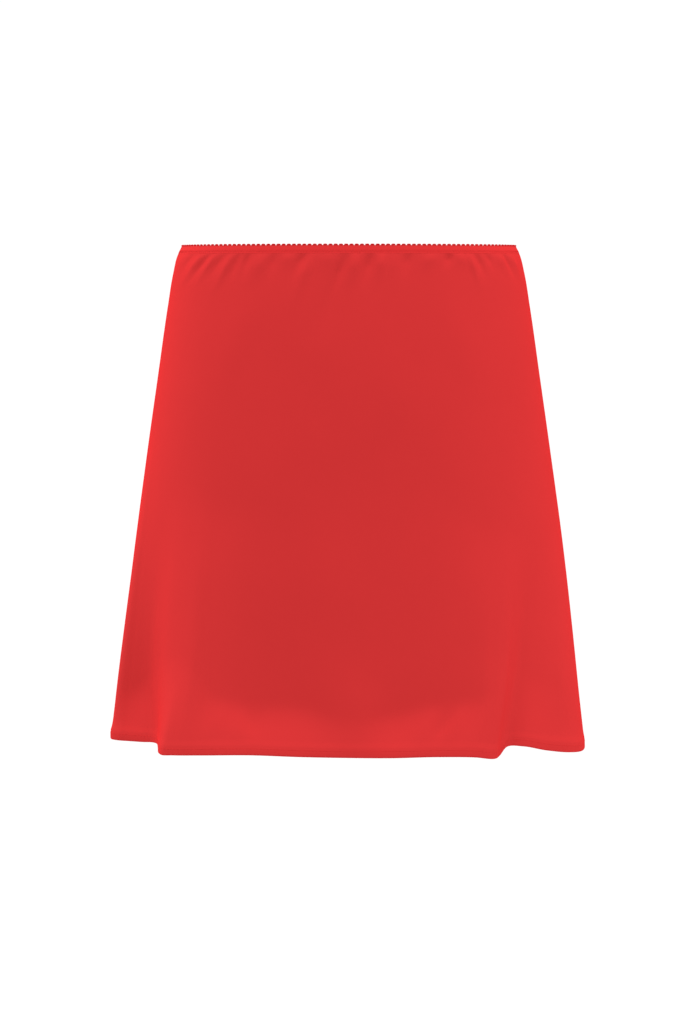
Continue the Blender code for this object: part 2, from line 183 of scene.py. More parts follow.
BACK_SHIFT = 0.037  # the back's gathers are the front's, carried round by half a turn and this much
BACK_STRETCH = 0.94  # and drawn together about the centre back
GATHER_RISE = 0.28  # share of its length over which a gather comes up from the stitching

# The long soft creases, a row for each: a ridge (or, less than 0, a trough) from one place and height
# to another, its width, and how far it stands out halfway along.
Crease = namedtuple("Crease", "place below to_place to_below width out")
CREASES = (
    Crease(0.483, 0.010, 0.425, 0.085, 0.022, -0.0009),
    Crease(0.430, 0.060, 0.474, 0.180, 0.030, -0.0010),
    Crease(0.474, 0.130, 0.490, 0.300, 0.034, -0.0012),
    Crease(0.484, 0.260, 0.532, 0.372, 0.030, -0.0012),
    Crease(0.310, 0.020, 0.235, 0.120, 0.026, 0.0008),
    Crease(0.700, 0.020, 0.770, 0.130, 0.028, 0.0008),
    Crease(0.565, 0.030, 0.590, 0.160, 0.030, 0.0007),
    Crease(0.160, 0.255, 0.147, 0.385, 0.010, 0.0006),
    Crease(0.800, 0.250, 0.803, 0.370, 0.009, 0.0007),
    Crease(0.290, 0.350, 0.285, 0.384, 0.013, 0.0010),
    Crease(0.318, 0.356, 0.322, 0.386, 0.011, 0.0009),
    Crease(0.345, 0.352, 0.340, 0.384, 0.013, -0.0008),
    Crease(0.633, 0.350, 0.638, 0.386, 0.014, 0.0010),
    Crease(0.668, 0.354, 0.664, 0.384, 0.012, -0.0009),
    Crease(0.692, 0.350, 0.697, 0.386, 0.013, 0.0009),
    Crease(0.030, 0.3865, 0.140, 0.3875, 0.0130, 0.0008),  # the roll over the hem of the left flute
    Crease(0.880, 0.3855, 0.985, 0.3855, 0.0130, 0.0005),
    Crease(1.120, 0.015, 1.190, 0.110, 0.026, 0.0008),  # the back
    Crease(1.285, 0.020, 1.235, 0.130, 0.028, -0.0008),
    Crease(1.455, 0.010, 1.420, 0.090, 0.022, -0.0009),
    Crease(1.425, 0.070, 1.465, 0.190, 0.030, -0.0010),
    Crease(1.465, 0.150, 1.480, 0.310, 0.034, -0.0011),
    Crease(1.560, 0.020, 1.590, 0.150, 0.028, 0.0008),
    Crease(1.700, 0.015, 1.765, 0.120, 0.026, 0.0008),
    Crease(1.350, 0.345, 1.356, 0.386, 0.013, 0.0009),
    Crease(1.610, 0.350, 1.604, 0.385, 0.012, -0.0009),
    Crease(1.655, 0.348, 1.660, 0.386, 0.014, 0.0010),
)

# ----------------------------------------------------------------------
# Sizes of the cut, the sewing and the meshes

WAIST_CUT = 0.440  # width of one panel's cut at its gathered edge
HEM_CUT = 0.560  # and along its hem
CUT_LENGTH = 0.405  # with the hem's turnings
CORDS = 4  # that run along the elastic
CORD_RISE = 0.00004  # and stand out this far
PICOT_RISE = 0.0005  # of a picot's middle line over the elastic's upper edge
PICOT_SHARE = 0.60  # of its pitch that its middle line takes
PICOT_THREAD = 0.00060  # radius of a picot's thread
PICOT_ROUND = 0.6  # power that makes it full rather than pointed
PICOT_DIP = 0.25  # its feet lie this share of its rise inside the elastic's edge
SEAM_ROLL = 0.0016  # the cloth rolls in over this distance beside a side seam
SEAM_SINK = 0.0006  # and this far
ALLOWANCE = 0.0065  # width of the overlocked seam allowances, pressed to the back
SEAM_LAP = 0.0010  # they reach this far ahead of the seam
ALLOWANCE_GAP = 0.00003  # between them and the cloth they lie on
ALLOWANCE_END = 0.0010  # they end this far from the elastic's foot and from the hem's top
OVERLOCK_PITCH = 0.0016  # from one stitch of their overlocking to the next
OVERLOCK_START = 0.0015  # from the elastic's foot to the first of them
OVERLOCK_THREAD = 0.4  # radius of its thread, as a share of the sewing thread's thickness
HEM_STEP = 0.0006  # the panels' wall thickens over this height above the hem's turnings
STITCH_LINE = 0.0008  # the hem's stitches lie this far under the top of its turnings
STITCH_FREE = 0.06  # share of a straight stitch's length that is left free at each end
ARCH_CUT = 0.08  # share of a half wave that is left off at each end of its arch
ARCH_RISE = 0.6  # of the whole half wave, in threads
ARCH_DIP = 0.45  # how far the half wave's ends lie inside the cloth, in threads
ZIGZAG_PITCH = 0.0011  # from one point of the elastic's zigzag to the next
ZIGZAG_FOOT = 0.0006  # its lower points lie this far over the elastic's foot
ZIGZAG_TOP = 0.0030  # and its upper ones this far
ZIGZAG_ARCH = 0.00004  # each leg's middle stands out this far
ZIGZAG_THREAD = 0.00009  # radius of its thread
COLUMNS = 440  # of each panel's mesh
SEAM_COLUMNS = 4  # of them that lie close together in each rolled edge
COLUMNS_A_PICOT = 6  # of the elastic's mesh
ELASTIC_POINTS = 40  # round its section
NUDGE = 1e-4  # step for measuring which way a surface faces
RING_POINTS = 721  # of half an oval
LINE_POINTS = 4000  # for measuring along the cloth round the skirt
BESIDE_AHEAD = -0.010  # the cloth beside a seam is measured from this place ahead of it
BESIDE_BEHIND = 0.030  # to this one behind it
BESIDE_POINTS = 81
HEM_FOLD_STEPS = 7  # rows round the hem's folded edge
THREAD_SIDES = 6
THREAD_TIP = 0.35  # a thread's end is this much of its thickness
STITCH_POINTS = 6  # along a straight stitch
PICOT_POINTS = 11  # along a picot
LEG_POINTS = 5  # along a leg of the zigzag
ALLOWANCE_LEVELS = 130
ALLOWANCE_POINTS = 24  # round their section

# The overlocking of an allowance, a row for each point of one stitch: how far it has got towards the
# next stitch, as a share of OVERLOCK_PITCH, how far it lies past the allowance's edge, and how far out
# of the middle of the allowance's two layers, in layers.
Overlock = namedtuple("Overlock", "along past out")
OVERLOCK = (
    Overlock(0.00, -0.0032, -1.12),
    Overlock(0.20, -0.0020, -1.12),
    Overlock(0.40, -0.0008, -1.10),
    Overlock(0.50, 0.0002, -0.70),
    Overlock(0.55, 0.0002, 0.20),
    Overlock(0.60, -0.0008, 0.60),
)

# Heights of the rows of a panel's mesh, as runs of even steps: each row says where its run ends and
# how long its steps are.
Run = namedtuple("Run", "end step")
ROWS = (
    Run(ELASTIC_FOOT, 0.0012),
    Run(PUFF_FOOT, 0.0001),
    Run(0.0075, 0.0006),
    Run(0.050, 0.0018),
    Run(0.300, 0.0085),
    Run(0.375, 0.0050),
    Run(LENGTH - 0.0009, 0.0009),
)


def through_knots(at, knots, values):
    """A smooth curve through the knots: a cubic in each span, with slopes that weigh both spans."""
    spans = np.diff(knots)
    steps = np.diff(values) / spans
    slopes = np.empty_like(values)
    slopes[1:-1] = (steps[1:] * spans[:-1] + steps[:-1] * spans[1:]) / (knots[2:] - knots[:-2])
    slopes[0], slopes[-1] = steps[0], steps[-1]
    first = np.clip(np.searchsorted(knots, at, side="right") - 1, 0, len(knots) - 2)
    span = spans[first]
    part = (at - knots[first]) / span
    left = part - 1
    return (
        (1 + 2 * part) * left**2 * values[first]
        + part * left**2 * span * slopes[first]
        + part**2 * (3 - 2 * part) * values[first + 1]
        + part**2 * left * span * slopes[first + 1]
    )


def column_of(rows, name):
    """One column of a table, as an array."""
    return np.array([getattr(row, name) for row in rows])


def at_level(name, below):
    """A column of LEVELS, read smoothly at any height."""
    knots = column_of(LEVELS, "below")
    return through_knots(np.clip(below, knots[0], knots[-1]), knots, column_of(LEVELS, name))


def round_folds(name, place):
    """A column of FOLDS, read smoothly all the way round, so that its last row runs into its first."""
    knots = column_of(FOLDS, "place")
    values = np.tile(column_of(FOLDS, name), 3)
    return through_knots(place % 2, np.concatenate([knots - 2, knots, knots + 2]), values)


def half_ring(half_width, depth, squareness, share):
    """Points of half an oval from -X to +X, share of the way along its length, bulging to +Y: cosine
    and sine of a half turn, each to the power that makes the oval as square as asked."""
    turn = np.linspace(0, np.pi, RING_POINTS)
    power = 2 / squareness
    x = -half_width * np.sign(np.cos(turn)) * np.abs(np.cos(turn)) ** power
    y = depth * np.sin(turn).clip(0) ** power
    run = np.concatenate([[0], np.cumsum(np.hypot(np.diff(x), np.diff(y)))])
    return np.interp(share * run[-1], run, x), np.interp(share * run[-1], run, y)


def oval(place, below):
    """The filled-out ring at one level, before any fold."""
    place = place % 2
    front = place <= 1
    size = (at_level("half_width", below), at_level("squareness", below))
    front_x, front_y = half_ring(size[0], at_level("front_depth", below), size[1], place.clip(0, 1))
    back_x, back_y = half_ring(size[0], at_level("back_depth", below), size[1], (2 - place).clip(0, 1))
    return np.where(front, front_x, back_x), np.where(front, -front_y, back_y)


def eased(share):
    """Growth that starts as the square, is 1 where share is 1, and goes on straight."""
    share = np.maximum(share, 0)
    return (1 + FOLD_EASE) * share**2 / (share + FOLD_EASE)


def turned_out(below, start):
    """How much of the turn out to the hem is done: an S curve from its start to KICK_END."""
    share = ((below - start) / (KICK_END - start)).clip(0, 1)
    return share**2 * (3 - 2 * share)


def draped(place, below):
    """The cloth's outer face, a row of points for each level. A fold swings out from the oval to
    where FOLDS has it at the knee, goes on straight, and from the start of the kick is brought to
    where FOLDS has it at the hem."""
    knee = np.stack([round_folds("knee_across", place), round_folds("knee_depth", place)])
    hem = np.stack([round_folds("hem_across", place), round_folds("hem_depth", place)])
    drop, start = round_folds("drop", place), round_folds("start", place)
    kick_start = round_folds("kick", place)
    swing = knee - np.stack(oval(place, KNEE))
    last_swing = eased((LENGTH - start) / (KNEE - start))
    kick = hem - np.stack(oval(place, LENGTH)) - swing * last_swing
    points = np.empty((len(below), len(place), 3))
    for row, level in enumerate(below):
        swung = eased((level - start) / (KNEE - start))
        kicked = turned_out(level, kick_start) / turned_out(LENGTH, kick_start)
        flat = np.stack(oval(place, level)) + swing * swung + kick * kicked
        points[row, :, :2] = flat.T
        points[row, :, 2] = -level - drop * swung / last_swing
    return points


def facing(place, below):
    """The way the outer face looks, from the cross product of its run round and its run down."""
    below = np.asarray(below)
    round_it = draped(place + NUDGE, below) - draped(place - NUDGE, below)
    down_it = draped(place, below + NUDGE) - draped(place, below - NUDGE)
    way = np.cross(down_it, round_it)
    return way / np.linalg.norm(way, axis=2, keepdims=True)


def panel_girth():
    """About how far it is round one panel at the waist: half the way round the oval."""
    return np.pi * 0.5 * (at_level("half_width", 0.0) + at_level("front_depth", 0.0))


def back_gathers():
    """The front's gathers, carried round to the back and drawn together about its centre."""
    for gather in FRONT_GATHERS:
        place = CENTRE_BACK + ((gather.place + BACK_SHIFT) % 1 - 0.5) * BACK_STRETCH
        yield gather._replace(place=place)


def gathered(place, below):
    """How far the gathers move the outer face out: each is a bell across, which comes up from the
    stitching and dies away as the square of what is left of its length."""
    below = np.asarray(below)[:, None]
    out = np.zeros((len(below), len(place)))
    for gather in (*FRONT_GATHERS, *back_gathers()):
        part = ((below - ELASTIC_FOOT) / gather.length).clip(0, 1)
        height = gather.out * (part / GATHER_RISE).clip(0, 1) * (1 - part) ** 2
        aside = ((place - gather.place - gather.lean * part + 1) % 2 - 1) * panel_girth()
        out += height * np.exp(-((2 * aside / gather.width) ** 2))
    return out


def creased(place, below):
    """How far the creases move the outer face out: each is a bell across and the square of
    half a wave along."""
    girth = panel_girth()
    below = np.asarray(below)[:, None]
    out = np.zeros((len(below), len(place)))
    for crease in CREASES:
        run, fall = (crease.to_place - crease.place) * girth, crease.to_below - crease.below
        length = np.hypot(run, fall)
        over, down = (place - crease.place) * girth, below - crease.below
        share = ((over * run + down * fall) / length**2).clip(0, 1)
        aside = (over * fall - down * run) / length
        out += crease.out * np.sin(np.pi * share) ** 2 * np.exp(-((2 * aside / crease.width) ** 2))
    return out


def elastic_at(below, sizes):
    """The elastic's thickness at each height: it is pressed thin towards its stitched foot."""
    return np.interp(below, (ELASTIC_TOP, ELASTIC_FOOT), (sizes.elastic_wall, sizes.elastic_foot))


def stand_off(below, sizes):
    """How far the outer face lies from the draped form, in straight runs from height to height: tucked
    in behind the elastic, level with it from just under its foot, puffed out above the turned hem,
    drawn in at the hem's top, and out again below it."""
    hem = LENGTH - sizes.hem_height
    knots = (PUFF_FOOT, hem - HEM_PUFF_HEIGHT, hem - HEM_PINCH, hem, hem + HEM_RETURN, LENGTH)
    out = np.interp(below, knots, (0, 0, HEM_PUFF, HEM_SINK, HEM_RAISE, 0))
    behind = elastic_at(below, sizes) + TUCK_GAP
    return (out - behind * np.interp(below, (ELASTIC_FOOT, PUFF_FOOT), (1, 0)))[:, None]


def beside_seam(place):
    """How far in metres each column is from the nearer side seam, measured at the waist."""
    return np.abs((place + 0.5) % 1 - 0.5) * panel_girth()


def rolled(place):
    """The cloth sinks beside the side seams, as the square of how near it is to them."""
    near = (1 - beside_seam(place) / SEAM_ROLL).clip(0, 1)
    return -SEAM_SINK * near**2


def relief(place, below, sizes):
    """Everything that stands out from or sinks into the draped form."""
    raised = gathered(place, below) + creased(place, below)
    return raised + stand_off(below, sizes) + rolled(place)


def on_cloth(place, below, sizes, out=0.0):
    """Points of the cloth's outer face, moved out, a row for each level, and the way they look."""
    below = np.asarray(below)
    way = facing(place, below)
    return draped(place, below) + way * (relief(place, below, sizes) + out)[..., None], way


def in_cut(place, below):
    """Where each point lies in its panel's flat cut, in metres: the cut is part of a ring, with its
    gathered edge along the inner arc and its hem along the outer one."""
    spread = (HEM_CUT - WAIST_CUT) / CUT_LENGTH
    inner_arc = WAIST_CUT / spread
    angle = ((place % 1.0) - 0.5) * spread
    reach = inner_arc + np.asarray(below)[:, None]
    return np.stack([reach * np.sin(angle), inner_arc - reach * np.cos(angle)], axis=-1)


# ----------------------------------------------------------------------
# Meshes


def make_piece(name, points, faces, material, cut=None):
    """A smooth-shaded mesh of four-sided faces, with the flat cut as its UV map where it has one."""
    mesh = bpy.data.meshes.new(name)
    mesh.vertices.add(len(points))
    mesh.vertices.foreach_set("co", points.astype(np.float32).ravel())
    mesh.loops.add(faces.size)
    mesh.loops.foreach_set("vertex_index", faces.astype(np.int32).ravel())
    mesh.polygons.add(len(faces))
    mesh.polygons.foreach_set("loop_start", np.arange(0, faces.size, 4, dtype=np.int32))
    mesh.update(calc_edges=True)
    if mesh.validate():
        raise RuntimeError(f"{name} has faces that aren't valid")
    mesh.shade_smooth()
    if cut is not None:
        layer = mesh.uv_layers.new(name="cut")
        layer.uv.foreach_set("vector", cut[faces.ravel()].astype(np.float32).ravel())
    mesh.materials.append(material)
    piece = bpy.data.objects.new(name, mesh)
    bpy.context.scene.collection.objects.link(piece)
    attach(piece, "root")
    return piece


def loop_faces(rows, columns, joined_rows=False, joined_columns=False):
    """The faces of a grid of points, a row after a row, whose last row or column may join its first."""
    number = np.arange(rows * columns).reshape(rows, columns)
    if joined_rows:
        number = np.vstack([number, number[:1]])
    if joined_columns:
        number = np.hstack([number, number[:, :1]])
    corners = (number[:-1, :-1], number[1:, :-1], number[1:, 1:], number[:-1, 1:])
    return np.stack(corners, axis=-1).reshape(-1, 4)


def row_heights():
    """How far below the origin each row of a panel's mesh lies, from ROWS."""
    heights, start = [PANEL_TOP], PANEL_TOP
    for run in ROWS:
        steps = int(np.ceil((run.end - start) / run.step))
        heights.extend(np.linspace(start, run.end, steps + 1)[1:])
        start = run.end
    return np.array(heights)


def make_panel(name, from_place, to_place, sizes, material):
    """One panel as a wall, closed but for a triangle under 1 mm across at each end of the hem's fold,
    because the caps of its side edges leave out the fold's middle row. Each column is a loop: down the
    outer face, round the hem's folded edge as half a circle, up the inside of the turned hem, and up
    the inner face. The columns stand close together beside the seams, where the cloth rolls in, and
    evenly between them."""
    gap = 0.5 * SEAM_GAP / panel_girth()
    roll = SEAM_ROLL / panel_girth()
    edge = np.linspace(0, roll, SEAM_COLUMNS + 1)[:-1]
    middle = np.linspace(roll, 1 - roll, COLUMNS - 2 * len(edge) + 1)
    share = np.concatenate([edge, middle, 1 - edge[::-1]])
    place = from_place + gap + (to_place - from_place - 2 * gap) * share
    down = row_heights()
    turn = np.linspace(0, np.pi, HEM_FOLD_STEPS + 2)[1:-1]
    radius = 0.5 * sizes.hem_wall
    below = np.concatenate([down, down[-1] + radius * np.sin(turn), down[::-1]])
    hem_top = LENGTH - sizes.hem_height
    inner = np.interp(down, (hem_top - HEM_STEP, hem_top), (sizes.cloth_wall, sizes.hem_wall))
    depth = np.concatenate([np.zeros(len(down)), radius * (1 - np.cos(turn)), inner[::-1]])
    points, _ = on_cloth(place, below, sizes, out=-depth[:, None])
    rows, columns = len(below), len(place)
    faces = loop_faces(rows, columns, joined_rows=True)[:, ::-1]
    number = np.arange(rows * columns).reshape(rows, columns)
    half = rows // 2
    for column, turned in ((0, 1), (columns - 1, -1)):
        outer, inside = number[:half, column], number[::-1, column][:half]
        cap = np.stack([outer[:-1], outer[1:], inside[1:], inside[:-1]], axis=-1)
        faces = np.concatenate([faces, cap[:, ::turned]])
    cut = in_cut(place, below).reshape(-1, 2)
    return make_piece(name, points.reshape(-1, 3), faces, material, cut)


def beside(at, toward, below, aside, sizes, out):
    """Points beside a side seam, a row for each level: each column lies at its own distance from the
    seam, measured along the cloth (more than 0 towards the back), and its own distance out from the
    outer face. With them, the way the cloth looks there."""
    reach = np.linspace(BESIDE_AHEAD, BESIDE_BEHIND, BESIDE_POINTS)
    seam = np.argmin(np.abs(reach))
    points, way = on_cloth(at + toward * reach, below, sizes)
    run = np.cumsum(np.linalg.norm(np.diff(points, axis=1, prepend=points[:, :1]), axis=2), axis=1)
    run -= run[:, seam : seam + 1]
    here, looks = np.empty((2, len(below), len(aside), 3))
    for row in range(len(below)):
        for axis in range(3):
            here[row, :, axis] = np.interp(aside, run[row], points[row, :, axis])
            looks[row, :, axis] = np.interp(aside, run[row], way[row, :, axis])
    return here + looks * np.asarray(out)[..., None], looks


def oblong(points, across, deep):
    """A rounded oblong from -1 to 1 both ways: cosine and sine of a whole turn, each to its own power,
    which makes the corners squarer the smaller it is."""
    turn = np.linspace(0, 2 * np.pi, points, endpoint=False)
    cosine, sine = np.cos(turn), np.sin(turn)
    return np.sign(cosine) * np.abs(cosine) ** across, np.sign(sine) * np.abs(sine) ** deep


def make_allowance(name, at, toward, sizes, material):
    """Both seam allowances of one side seam: a flat strip, a rounded oblong in section, that lies
    against the inner faces from just ahead of the seam to its overlocked edge behind."""
    first, last = ELASTIC_FOOT + ALLOWANCE_END, LENGTH - sizes.hem_height - ALLOWANCE_END
    below = np.linspace(first, last, ALLOWANCE_LEVELS)
    across, deep = oblong(ALLOWANCE_POINTS, across=0.3, deep=0.5)
    aside = 0.5 * (ALLOWANCE - SEAM_LAP) + 0.5 * (ALLOWANCE + SEAM_LAP) * across
    out = -sizes.cloth_wall * (2 + deep) - ALLOWANCE_GAP
    points, _ = beside(at, toward, below, aside, sizes, out)
    rows, columns = len(below), len(across)
    step = np.arange(columns // 2 - 1)
    end = np.stack([step, step + 1, columns - 2 - step, columns - 1 - step], axis=-1)
    faces = loop_faces(rows, columns, joined_columns=True)
    faces = np.concatenate([faces, end, end[:, ::-1] + (rows - 1) * columns])
    cut = np.stack(np.broadcast_arrays(aside[None, :], below[:, None]), axis=-1)
    return make_piece(name, points.reshape(-1, 3), faces[:, ::-toward], material, cut.reshape(-1, 2))


def make_overlock(name, at, toward, sizes, material):
    """The overlocking of one side seam: a thread that goes to and fro over the allowances' free edge,
    each stitch a straight leg on their face and a turn round the edge, as OVERLOCK has it."""
    count = int((LENGTH - sizes.hem_height - ELASTIC_FOOT) / OVERLOCK_PITCH) - 2
    start = ELASTIC_FOOT + OVERLOCK_START + OVERLOCK_PITCH * np.arange(count)
    middle = -2.0 * sizes.cloth_wall - ALLOWANCE_GAP
    paths, ways = np.empty((2, count, len(OVERLOCK), 3))
    for point, row in enumerate(OVERLOCK):
        aside, out = [ALLOWANCE + row.past], middle + row.out * sizes.cloth_wall
        here, way = beside(at, toward, start + row.along * OVERLOCK_PITCH, aside, sizes, out)
        paths[:, point], ways[:, point] = here[:, 0], way[:, 0]
    return make_threads(name, paths, ways, OVERLOCK_THREAD * sizes.thread, material)


def make_elastic(sizes, material):
    """The elastic: a flat ring whose section is a rounded oblong with a wave for each cord along its
    two faces."""
    columns = PICOTS * COLUMNS_A_PICOT
    place = np.arange(columns) * 2 / columns
    middle, half = 0.5 * (ELASTIC_TOP + ELASTIC_FOOT), 0.5 * (ELASTIC_FOOT - ELASTIC_TOP)
    up, out = oblong(ELASTIC_POINTS, across=0.2, deep=0.2)
    cords = CORD_RISE * np.cos(up * np.pi * CORDS) * np.abs(out)
    below = middle - half * up
    depth = 0.5 * elastic_at(below, sizes) * (1 - out) - np.sign(out) * cords
    way = facing(place, below)
    points = draped(place, below) - way * depth[:, None, None]
    faces = loop_faces(ELASTIC_POINTS, columns, joined_rows=True, joined_columns=True)
    round_it = np.broadcast_to(place[None, :] * panel_girth(), points.shape[:2])
    along = np.stack([round_it, np.broadcast_to(below[:, None], points.shape[:2])], axis=-1)
    return make_piece("picot_elastic", points.reshape(-1, 3), faces, material, along.reshape(-1, 2))


def make_threads(name, paths, out_of, radius, material):
    """A piece of short round threads, one for each path. A ring of points stands round each point of
    a path, square to it, and is smaller at the two ends."""
    along = np.gradient(paths, axis=1)
    along /= np.linalg.norm(along, axis=2, keepdims=True)
    aside = np.cross(along, out_of)
    aside /= np.linalg.norm(aside, axis=2, keepdims=True)
    up = np.cross(aside, along)
    turn = np.linspace(0, 2 * np.pi, THREAD_SIDES, endpoint=False)
    thick = np.full(paths.shape[1], radius)
    thick[[0, -1]] *= THREAD_TIP
    ring = (
        aside[:, :, None, :] * np.cos(turn)[None, None, :, None]
        + up[:, :, None, :] * np.sin(turn)[None, None, :, None]
    )
    points = paths[:, :, None, :] + ring * thick[None, :, None, None]
    count, steps = paths.shape[:2]
    one = loop_faces(steps, THREAD_SIDES, joined_columns=True)
    last = (steps - 1) * THREAD_SIDES
    caps = np.array([[0, 1, 2, 3], [0, 3, 4, 5]])
    one = np.concatenate([one[:, ::-1], caps, (caps + last)[:, ::-1]])
    faces = one[None] + (np.arange(count) * steps * THREAD_SIDES)[:, None, None]
    return make_piece(name, points.reshape(-1, 3), faces.reshape(-1, 4), material)


def even_places(from_place, to_place, below, gap):
    """Places round the skirt that are evenly spaced along the cloth, about gap metres apart."""
    place = np.linspace(from_place, to_place, LINE_POINTS)
    line = draped(place, [below])[0]
    run = np.concatenate([[0], np.cumsum(np.linalg.norm(np.diff(line, axis=0), axis=1))])
    count = int(round(run[-1] / gap))
    return np.interp(np.linspace(0, run[-1], count + 1), run, place)


def stitched_row(name, from_place, to_place, below, sizes, material):
    """A row of straight stitches along the hem: each is a low arch, the top of a half wave, that dips
    into the cloth at both ends."""
    ends = even_places(from_place, to_place, below, sizes.stitch)
    step = np.linspace(STITCH_FREE, 1 - STITCH_FREE, STITCH_POINTS)
    place = (ends[:-1, None] + np.diff(ends)[:, None] * step).ravel()
    wave = np.sin(np.pi * np.linspace(ARCH_CUT, 1 - ARCH_CUT, STITCH_POINTS))
    arch = np.tile(ARCH_RISE * wave - ARCH_DIP, len(ends) - 1)
    points, way = on_cloth(place, [below], sizes, out=sizes.thread * arch)
    shape = (len(ends) - 1, STITCH_POINTS, 3)
    return make_threads(name, points.reshape(shape), way.reshape(shape), 0.5 * sizes.thread, material)


def make_picots(sizes, material):
    """The picots: each is half an oval ring of thread that stands on the elastic's upper edge, its
    height the sine of a half turn to a power, and its feet a little way inside the edge."""
    middle = (np.arange(PICOTS) + 0.5) * 2 / PICOTS
    step = np.linspace(0, np.pi, PICOT_POINTS)
    place = (middle[:, None] - np.cos(step) * PICOT_SHARE / PICOTS).ravel()
    ring = (1 + PICOT_DIP) * np.sin(step) ** PICOT_ROUND - PICOT_DIP
    rise = np.tile(PICOT_RISE * ring, PICOTS)
    points = draped(place, [ELASTIC_TOP])[0]
    way = facing(place, [ELASTIC_TOP])[0]
    points = points - way * 0.5 * sizes.elastic_wall
    points[:, 2] += rise
    shape = (PICOTS, len(step), 3)
    return make_threads("picot_loops", points.reshape(shape), way.reshape(shape), PICOT_THREAD, material)


def make_zigzag(sizes, material):
    """The zigzag that holds the elastic: straight legs between its lower edge and its middle, each
    arched out by half a wave. The points are looked up in a grid of LEG_POINTS levels."""
    ends = even_places(0.0, 2.0, ELASTIC_FOOT, ZIGZAG_PITCH)
    low, high = ELASTIC_FOOT - ZIGZAG_FOOT, ELASTIC_FOOT - ZIGZAG_TOP
    step = np.linspace(0, 1, LEG_POINTS)
    start_low = (np.arange(len(ends) - 1) % 2 == 0)[:, None]
    below = np.where(start_low, low + (high - low) * step, high + (low - high) * step)
    place = ends[:-1, None] + np.diff(ends)[:, None] * step
    levels = np.linspace(high, low, LEG_POINTS)
    grid = draped(place.ravel(), levels)
    ways = facing(place.ravel(), levels)
    row = np.rint((below.ravel() - high) / (low - high) * (LEG_POINTS - 1)).astype(int)
    column = np.arange(place.size)
    lift = ZIGZAG_ARCH * np.tile(np.sin(np.pi * step), len(ends) - 1)
    way = ways[row, column]
    points = grid[row, column] + way * lift[:, None]
    shape = (*place.shape, 3)
    paths, out_of = points.reshape(shape), way.reshape(shape)
    return make_threads("elastic_zigzag", paths, out_of, ZIGZAG_THREAD, material)


# ----------------------------------------------------------------------
# Materials


def matt(name, roughness, specular=0.0):
    """A material that is one matt shader, with that shader, its nodes and its links."""
    material = bpy.data.materials.new(name)
    material.use_nodes = True
    nodes, links = material.node_tree.nodes, material.node_tree.links
    shader = nodes["Principled BSDF"]
    shader.inputs["Roughness"].default_value = roughness
    shader.inputs["Specular IOR Level"].default_value = specular
    return material, shader, nodes, links


def add(nodes, kind, **settings):
    """A node of that kind, with its settings and, where a name is an input's, that input's value."""
    node = nodes.new(kind)
    for name, value in settings.items():
        socket = name.replace("_", " ").title()
        if hasattr(node, name):
            setattr(node, name, value)
        elif socket in node.inputs:
            node.inputs[socket].default_value = value
        else:
            raise AttributeError(f"{kind} has no setting or input named {name}")
    return node


def tinted(shader, nodes, links, level, colour, darkest, ends=(0.0, 1.0)):
    """The shader's colour: as the level goes from one end to the other, it goes evenly from a share
    of the red to the whole of it."""
    tone = add(nodes, "ShaderNodeValToRGB")
    for stop, end, share in zip(tone.color_ramp.elements, ends, (darkest, 1.0)):
        stop.position = end
        stop.color = (*[share * part for part in colour], 1.0)
    links.new(level, tone.inputs["Fac"])
    links.new(tone.outputs["Color"], shader.inputs["Base Color"])


def bumped(shader, nodes, links, level, strength, distance):
    """The shader's fine relief, as high as the level times the distance."""
    bump = add(nodes, "ShaderNodeBump", strength=strength, distance=distance)
    links.new(level, bump.inputs["Height"])
    links.new(bump.outputs["Normal"], shader.inputs["Normal"])


def satin_cloth(colours):
    """Soft satin-faced cloth: two close reds in soft clouds, a fine weave as bump, the product of a
    wave along the cut and a wave across it, and a red sheen where the cloth turns away."""
    material, *parts = matt("satin_cloth", roughness=0.6)
    shader, nodes, links = parts
    shader.inputs["Sheen Weight"].default_value = colours.sheen
    shader.inputs["Sheen Roughness"].default_value = 0.45
    shader.inputs["Sheen Tint"].default_value = (1.0, 0.0, 0.0, 1.0)
    place = add(nodes, "ShaderNodeTexCoord")
    cloud = add(nodes, "ShaderNodeTexNoise", scale=14.0, detail=3.0, roughness=0.5)
    links.new(place.outputs["Object"], cloud.inputs["Vector"])
    tinted(*parts, cloud.outputs["Fac"], colours.cloth, darkest=0.975, ends=(0.30, 0.70))
    cut = add(nodes, "ShaderNodeUVMap", uv_map="cut")
    weave = add(nodes, "ShaderNodeMath", operation="MULTIPLY")
    for direction, factor in zip("XY", weave.inputs):
        wave = add(nodes, "ShaderNodeTexWave", bands_direction=direction, scale=780.0, distortion=0.4)
        links.new(cut.outputs["UV"], wave.inputs["Vector"])
        links.new(wave.outputs["Fac"], factor)
    bumped(*parts, weave.outputs[0], strength=0.35, distance=0.00006)
    return material


def woven_elastic(colours):
    """Matt elastic: close cross threads over its cords as bump, with the red slightly darker where that
    bump is low.
    """
    material, *parts = matt("woven_elastic", roughness=0.75)
    _, nodes, links = parts
    cut = add(nodes, "ShaderNodeUVMap", uv_map="cut")
    wave = add(nodes, "ShaderNodeTexWave", bands_direction="X", scale=420.0, distortion=0.8)
    links.new(cut.outputs["UV"], wave.inputs["Vector"])
    tinted(*parts, wave.outputs["Fac"], colours.elastic, darkest=0.86)
    bumped(*parts, wave.outputs["Fac"], strength=0.5, distance=0.0001)
    return material


def twisted_thread(name, colour):
    """Matt thread in one red, a little darker here and there along its twist."""
    material, *parts = matt(name, roughness=0.7)
    _, nodes, links = parts
    place = add(nodes, "ShaderNodeTexCoord")
    twist = add(nodes, "ShaderNodeTexNoise", scale=2200.0, detail=1.0)
    links.new(place.outputs["Object"], twist.inputs["Vector"])
    tinted(*parts, twist.outputs["Fac"], colour, darkest=0.9)
    return material


def sewing_thread(colours):
    """The thread of the seams and the hem."""
    return twisted_thread("sewing_thread", colours.thread)


